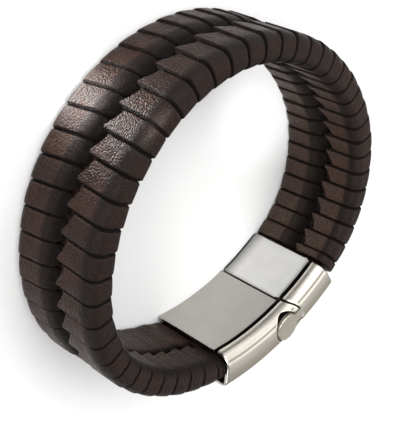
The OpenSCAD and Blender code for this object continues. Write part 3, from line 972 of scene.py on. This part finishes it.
class BRACELET_OT_shells(bpy.types.Operator):
    """Bend the clasp's two shells, with the rail's curl round the button"""

    bl_idname = "bracelet.shells"
    bl_label = "Clasp shells"

    def execute(self, context):
        _, clasp, finish, loop = settings(context)
        outer_shade = {"outer": finish.steel_outer_shade}
        steel = shared_material("satin_steel", steel_material, finish, finish.steel, **outer_shade)
        end, joint, width = clasp["length"] / 2, clasp["joint"], clasp["width"]
        inner, outer, wall = clasp["inner"], clasp["outer"], clasp["wall"]
        lip, high, curl = width - clasp["rail"], width + CLEAR, curl_radius(clasp)
        past = bent(
            loop, oblong(*PAST_DEPTHS, PAST_LOW, width + PAST_OVER), joint, joint + PAST_LONG
        )
        past_joint = combined(past, [("DIFFERENCE", disc(loop, clasp, curl, lip, high))])
        slot = clasp["neck"] / 2 + clasp["button_gap"]
        bore = clasp["button_radius"] + BORE_SHARE * clasp["button_gap"]
        box = combined(
            bent(loop, shell_corners(clasp, True), -end, joint + RUN_IN, rolled=(BOX_ROLL, 0.0)),
            [
                ("DIFFERENCE", past_joint),
                ("DIFFERENCE", disc(loop, clasp, bore, lip, high)),
                ("DIFFERENCE", block(loop, clasp, (0, -slot, lip), (curl + OVER, slot, high))),
            ],
            bevel=SHELL_EDGE,
        )
        # Painted shade inside the shell, round the bore and at the joint
        mark(box, loop, end, lambda place: self.covered(place, clasp, bore + BORE_REACH))
        flat_sided(keep(box, "box_shell_steel", steel, ["box_shell"], "bracelet"))
        tongue_high = lip - clasp["seam"] - TONGUE_UNDER
        tongue_depths = (inner + TONGUE_IN, outer - TONGUE_OUT)
        tongue = oblong(*tongue_depths, TONGUE_OUT, tongue_high, TONGUE_CORNER)
        hollow = [
            (inner - OVER, wall, *SQUARE),
            *cavity(clasp),
            (inner + wall, lip - HOLLOW_LIP, *SQUARE),
            (inner - OVER, lip - HOLLOW_LIP, *SQUARE),
        ]
        start, notch = joint + clasp["joint_gap"], (*NOTCH_LOW, width - NOTCH_DEEP)
        round_curl = disc(loop, clasp, curl + clasp["joint_gap"] + CURL_GAP, tongue_high, high)
        half = combined(
            bent(loop, shell_corners(clasp, False), start, end, rolled=(0.0, TONGUE_ROLL)),
            [
                ("DIFFERENCE", bent(loop, hollow, end - HOLLOW_LONG, end + OVER)),
                ("UNION", bent(loop, tongue, joint - TONGUE_LONG, joint + OVER)),
                ("DIFFERENCE", round_curl),
                ("DIFFERENCE", block(loop, clasp, notch, (*NOTCH_HIGH, high))),
            ],
            bevel=SHELL_EDGE,
        )

        # Painted shade round the curl, at the joint and in the notch
        def dark(place):
            return max(self.covered(place, clasp, curl + CURL_REACH), self.in_notch(place, clasp))

        mark(half, loop, end, dark)
        flat_sided(keep(half, "tongue_shell_steel", steel, ["tongue_shell"], "bracelet"))
        return {"FINISHED"}

    def covered(self, place, clasp, reach):
        """1, for painted shade, for a point inside a shell, round the button or on the joint's
        walls.
        """
        tests = (
            self.inside(place, clasp),
            self.round_button(place, clasp, reach),
            self.at_joint(place, clasp),
        )
        return float(any(tests))

    @staticmethod
    def inside(place, clasp):
        """Whether a point lies inside a shell or under a plate, and not on its skin."""
        inner, wall = clasp["inner"], clasp["wall"]
        depth = SKIN_DEPTH < place.y - inner < clasp["outer"] - inner - WALL_PART * wall
        height = WALL_PART * wall < place.z < clasp["width"] - WALL_PART * wall
        return depth and height and not on_rail(place, clasp, RAIL_PART * wall)

    @staticmethod
    def at_joint(place, clasp):
        """Whether a point is on the walls that face each other across the joint, below the skin."""
        joint, from_curl = clasp["joint"], from_button(place, clasp) - curl_radius(clasp)
        below = place.y > clasp["inner"] + JOINT_SKIN and place.z < clasp["width"] - JOINT_SKIN
        flat = joint - JOINT_BESIDE < place.x < joint + clasp["joint_gap"] + JOINT_BESIDE
        past = place.x > joint - JOINT_BESIDE and place.y < JOINT_DEPTH
        wall = past and (flat or abs(from_curl - CURL_BESIDE) < CURL_WIDE)
        return below and wall and not on_rail(place, clasp, JOINT_SKIN)

    @staticmethod
    def in_notch(place, clasp):
        """1, for painted shade, for a point in the small notch beside the neck's end."""
        (start, stop), (low, high) = NOTCH_STATIONS, NOTCH_DEPTHS
        below = place.z < clasp["width"] - NOTCH_SKIN
        return float(start < place.x < stop and low < place.y < high and below)

    @staticmethod
    def round_button(place, clasp, reach):
        """Whether a point is on a wall that stands round the button, below the near face."""
        below = place.z < clasp["width"] - JOINT_SKIN and not on_rail(place, clasp, BORE_SKIN)
        return from_button(place, clasp) < reach and below


# The plates: how much narrower than their seat they are, how far the longer one runs into the
# mouth, how far both keep from the joint, and the spacing of the cuts along and across them
PLATE_SIDE, PLATE_OVER, PLATE_SHORTER, PLATE_ALONG, PLATE_ACROSS = 0.22, 0.25, 0.06, 0.6, 1.2
FLAT_PLATE = {"corner": 0.3, "edge": 0.25, "drop": 0.2, "roll": 0.0}
CUSHION = {"corner": 1.0, "edge": 0.7, "drop": 0.4, "roll": 0.75}
# Share of the edge that is rounded, how far under it the sides are cut and still count as edge
EDGE_ROUND, EDGE_CUT, EDGE_UNDER = 0.98, 0.1, 0.05
# Shares of the edge's width from which a plate's ends are polished, with a painted highlight
# colour, and are full so
POLISH_FROM, POLISH_FULL = 0.6, 0.3
# Painted shade on the side towards the rail: its width, and the share of the edge under which it
# starts
SIDE_DARK, SIDE_UNDER = 0.02, 0.6
# Painted shade on the rolled edge: its darkness, and the heights over which it ends
ROLL_DARK, ROLL_HEIGHTS = 0.55, (0.8, 3.8)
# How much less the face falls beside the rail, from how far and to how far from it
LESS_FALL, LESS_START, LESS_FULL = 0.75, 1.3, 0.7
# Width of the roll at the far edge
ROLL_WIDE = 2.2


class BRACELET_OT_plates(bpy.types.Operator):
    """Lay the clasp's two inner plates, the shorter one with cushioned edges"""

    bl_idname = "bracelet.plates"
    bl_label = "Clasp plates"

    def execute(self, context):
        _, clasp, finish, loop = settings(context)
        plain = shared_material("plate_steel", steel_material, finish, finish.plate_steel)
        bright = shared_material("cushion_steel", steel_material, finish, finish.cushion_steel)
        end, joint, gap = clasp["length"] / 2, clasp["joint"], clasp["joint_gap"] / 2
        inner, back = clasp["inner"], clasp["inner"] + clasp["wall"]
        wide = clasp["width"] - clasp["rail"] - clasp["seam"] - PLATE_SIDE
        ends = (-end - PLATE_OVER, joint - gap - PLATE_SHORTER)
        flat = self.slab(loop, inner, back, wide, *ends, **FLAT_PLATE)
        flat_sided(keep(flat, "box_plate_steel", plain, ["box_plate"], "bracelet"))
        top, ends = inner - clasp["plate_step"], (joint + gap + PLATE_SHORTER, end)
        cushion = self.slab(loop, top, back, wide, *ends, **CUSHION)
        piece = keep(cushion, "tongue_plate_steel", bright, ["tongue_plate"], "bracelet")
        flat_sided(piece)
        return {"FINISHED"}

    @staticmethod
    def slab(loop, top, back, wide, start, stop, corner, edge, drop, roll):
        """A bent plate whose plan has rounded corners and whose inner face falls to its edges by
        drop over a width of edge, and rolls off further towards the far edge."""
        bm = bmesh.new()
        bmesh.ops.create_cube(bm, size=1.0)
        tall = back - top - drop + edge
        middle, half = (start + stop) / 2, (stop - start) / 2
        bmesh.ops.scale(bm, vec=(stop - start, tall, wide), verts=bm.verts[:])
        bmesh.ops.translate(bm, vec=(middle, tall / 2, wide / 2), verts=bm.verts[:])
        upright = [e for e in bm.edges if abs(e.verts[0].co.y - e.verts[1].co.y) > 0.1]
        rounded(bm, upright, corner, 8)
        face_edges = [e for e in bm.edges if all(v.co.y < 1e-4 for v in e.verts)]
        rounded(bm, face_edges, edge * EDGE_ROUND, 8)
        slice_up(bm, 0, steps(start, stop, PLATE_ALONG))
        slice_up(bm, 2, steps(0, wide, PLATE_ACROSS))
        slice_up(bm, 1, [edge + EDGE_CUT])
        flow = bm.verts.layers.float_vector.new("flow")
        painted_shade, polish_highlight = (bm.verts.layers.float.new(name) for name in ("painted_shade", "polish_highlight"))
        for vert in bm.verts:
            x, down, height = vert.co
            vert[flow] = vert.co
            on_face = down < edge + EDGE_UNDER
            rim = rise(abs(x - middle), half - POLISH_FROM * edge, half - POLISH_FULL * edge)
            vert[polish_highlight] = rim * (x < 0 or on_face)
            # Painted shade beside the rail and on the rolled far edge
            side = float(height > wide - SIDE_DARK and down > SIDE_UNDER * edge)
            vert[painted_shade] = max(side, ROLL_DARK * (roll > 0) * (1 - rise(height, *ROLL_HEIGHTS)))
            less = LESS_FALL * rise(height, wide - LESS_START, wide - LESS_FULL)
            fall = drop * (1 - less)
            if down < edge:
                depth = top + down * fall / edge
            else:
                depth = top + fall + (down - edge) * (back - top - fall) / (tall - edge)
            depth += roll * max(0.0, 1 - height / ROLL_WIDE) ** 2 * on_face
            vert.co = loop.at(x, depth, height)
        return bm


# The button: its thickness, the radius and segments of its rim and its edges' radius
DISC_THICK, DISC_RIM, BUTTON_EDGE = 1.4, (0.34, 3), 0.07
# Heights under the near face at which its side is cut, and under which it is painted dark as shade
SIDE_CUTS, SIDE_LIT = (0.5, 0.3), 0.45
# How far the neck reaches past the curl and the joint's gap
NECK_PAST = 0.2
# The stem: its radius and segments, and its ends under the near face and under the button's face
STEM_RADIUS, STEM_SEGMENTS, STEM_END, STEM_TOP = 1.3, 48, 5.95, 1.2
# Turn of the brushing on the button's face, and how strong its streaks are
BRUSH_TURN, BRUSH_STREAKS = math.radians(38), 2.2


class BRACELET_OT_button(bpy.types.Operator):
    """Turn the push button with its neck and stem"""

    bl_idname = "bracelet.button"
    bl_label = "Push button"

    def execute(self, context):
        _, clasp, finish, loop = settings(context)
        steel = shared_material(
            "brushed_steel", steel_material, finish, finish.button_steel, streaks=BRUSH_STREAKS
        )
        width, radius, half = clasp["width"], clasp["button_radius"], clasp["neck"] / 2
        top = width + clasp["button_out"]
        reach = curl_radius(clasp) + clasp["joint_gap"] + NECK_PAST
        neck = combined(
            block(loop, clasp, (0, -half, width - clasp["wall"]), (reach + OVER, half, width)),
            [("INTERSECT", disc(loop, clasp, reach, width - CLEAR, width + CLEAR))],
        )
        face = disc(loop, clasp, radius, top - DISC_THICK, top)
        rim = [e for e in face.edges if all(v.co.z > top - 1e-3 for v in e.verts)]
        rounded(face, rim, *DISC_RIM)
        slice_up(face, 2, [width - under for under in SIDE_CUTS])
        stem = disc(loop, clasp, STEM_RADIUS, width - STEM_END, top - STEM_TOP, STEM_SEGMENTS)
        button = combined(face, [("UNION", neck), ("UNION", stem)], bevel=BUTTON_EDGE)
        # Painted shade on the button's side under the near face
        mark(button, loop, clasp["length"] / 2, lambda place: float(place.z < width - SIDE_LIT))
        flow = button.verts.layers.float_vector["flow"]
        turn = Matrix.Rotation(BRUSH_TURN, 3, "Z")
        for vert in button.verts:
            vert[flow] = turn @ vert[flow]
        piece = keep(button, "push_button_steel", steel, ["push_button"], "button")
        flat_sided(piece)
        return {"FINISHED"}


# Name, place and size in metres and power in watts of each soft light that looks at the bracelet
SOFT_LIGHTS = (
    ("key_light", (-0.05, 0.68, 0.58), 0.75, 6.4),
    ("top_light", (0.34, 0.08, 0.74), 0.7, 3.0),
    ("left_card", (-0.66, 0.42, 0.40), 0.3, 4.4),
    ("right_card", (0.70, 0.42, 0.30), 0.6, 1.6),
    ("fill_light", (-0.55, 0.45, 0.6), 0.9, 0.6),
    ("low_card", (-0.62, -0.38, 0.35), 0.35, 1.4),
    ("rail_card", (0.44, 0.62, 0.50), 0.45, 0.45),
    ("side_card", (0.43, -0.59, 0.525), 0.7, 0.72),
)
# Name, place, aim, spread in radians and power of each narrow light
SPOT_LIGHTS = (
    ("floor_glow", (-0.021, 0.075, 0.7), (-0.019, 0.0385, 0.0), 0.025, 620.0),
    ("inner_light", (-0.33, -0.05, 0.62), (0.034, 0.008, 0.01), 0.075, 20.0),
)
# The floor's radius and how far it lies under the bracelet, in metres, and the world's brightness
FLOOR_RADIUS, FLOOR_UNDER, WORLD_STRENGTH = 3.0, 0.00002, 0.52
# The camera's directions, its place in millimetres, and its focal length and the picture's height
# in pixels
RIGHT, DOWN = Vector((0.67357, -0.14986, 0.72377)), Vector((-0.56126, -0.74087, 0.36892))
AHEAD, EYE = Vector((0.48094, -0.65471, -0.58314)), Vector((-85.77, 110.43, 108.93))
FOCAL, PICTURE_HEIGHT, SENSOR = 915.2, 444, 36.0


class BRACELET_OT_stage(bpy.types.Operator):
    """Set the pale floor, the soft lights and the camera"""

    bl_idname = "bracelet.stage"
    bl_label = "Stage"

    def execute(self, context):
        scene = context.scene
        made, tree, surface = material("pale_floor")
        tint = rgba(scene.bracelet_finishes.floor)
        looks = {"Base Color": tint, "Roughness": 0.9, "Specular IOR Level": 0.1}
        fill(tree, surface.inputs, looks)
        bm = bmesh.new()
        bmesh.ops.create_circle(bm, cap_ends=True, segments=64, radius=FLOOR_RADIUS)
        bmesh.ops.translate(bm, vec=(0, 0, -FLOOR_UNDER), verts=bm.verts[:])
        floor = object_of(bm, "floor")
        floor.data.materials.append(made)
        for name, place, size, power in SOFT_LIGHTS:
            light = self.lamp(name, "AREA", power, place)
            light.shape, light.size, light.size_y = "ELLIPSE", size, size
        for name, place, aim, spread, power in SPOT_LIGHTS:
            light = self.lamp(name, "SPOT", power, place, aim)
            light.spot_size, light.spot_blend, light.shadow_soft_size = spread, 1.0, 0.002
        world = bpy.data.worlds.new("soft_studio")
        world.use_nodes = True
        sky = next(n for n in world.node_tree.nodes if n.type == "BACKGROUND")
        looks = {"Color": (1.0, 0.99, 0.98, 1.0), "Strength": WORLD_STRENGTH}
        fill(world.node_tree, sky.inputs, looks)
        scene.world = world
        scene.view_settings.view_transform = "Standard"
        scene.camera = self.camera(scene)
        return {"FINISHED"}

    @staticmethod
    def lamp(name, kind, power, place, aim=(0.0, 0.0, 0.0)):
        """Hangs a light at a place and turns it to its aim."""
        light = bpy.data.lights.new(name, kind)
        light.energy = power
        lamp = bpy.data.objects.new(name, light)
        lamp.location = place
        lamp.rotation_euler = (Vector(place) - Vector(aim)).to_track_quat("Z", "Y").to_euler()
        bpy.context.scene.collection.objects.link(lamp)
        return light

    @staticmethod
    def camera(scene):
        """The camera that sees the bracelet as in the photo."""
        view = bpy.data.cameras.new("photo_view")
        view.sensor_width = SENSOR
        view.lens = FOCAL / PICTURE_HEIGHT * view.sensor_width
        view.clip_start, view.clip_end = 0.01, 20.0
        camera = bpy.data.objects.new("photo_view", view)
        turn = Matrix((RIGHT, -DOWN, -AHEAD)).transposed()
        camera.matrix_world = Matrix.Translation(EYE * MM) @ turn.to_4x4()
        scene.collection.objects.link(camera)
        return camera


class BRACELET_PT_panel(bpy.types.Panel):
    """The bracelet's pieces, in the order in which they are made"""

    bl_label = "Leather bracelet"
    bl_idname = "BRACELET_PT_panel"
    bl_space_type = "VIEW_3D"
    bl_region_type = "UI"
    bl_category = "Bracelet"

    def draw(self, context):
        for operator in OPERATORS:
            self.layout.operator(operator.bl_idname)
        for name in GROUPS:
            group = getattr(context.scene, name)
            column = self.layout.column(align=True)
            for key in group.__annotations__:
                column.prop(group, key)


GROUPS = {
    "bracelet_band": BandSizes,
    "bracelet_clasp": ClaspSizes,
    "bracelet_finishes": Finishes,
}
OPERATORS = (
    BRACELET_OT_links,
    BRACELET_OT_strap,
    BRACELET_OT_shells,
    BRACELET_OT_plates,
    BRACELET_OT_button,
    BRACELET_OT_stage,
)
CLASSES = (*GROUPS.values(), *OPERATORS, BRACELET_PT_panel)


def register():
    for made in CLASSES:
        bpy.utils.register_class(made)
    for name, group in GROUPS.items():
        setattr(bpy.types.Scene, name, PointerProperty(type=group))


def unregister():
    for name in GROUPS:
        delattr(bpy.types.Scene, name)
    for made in reversed(CLASSES):
        bpy.utils.unregister_class(made)


def main():
    register()
    bpy.ops.bracelet.links()
    bpy.ops.bracelet.strap()
    bpy.ops.bracelet.shells()
    bpy.ops.bracelet.plates()
    bpy.ops.bracelet.button()
    bpy.ops.bracelet.stage()


if __name__ == "__main__":
    main()
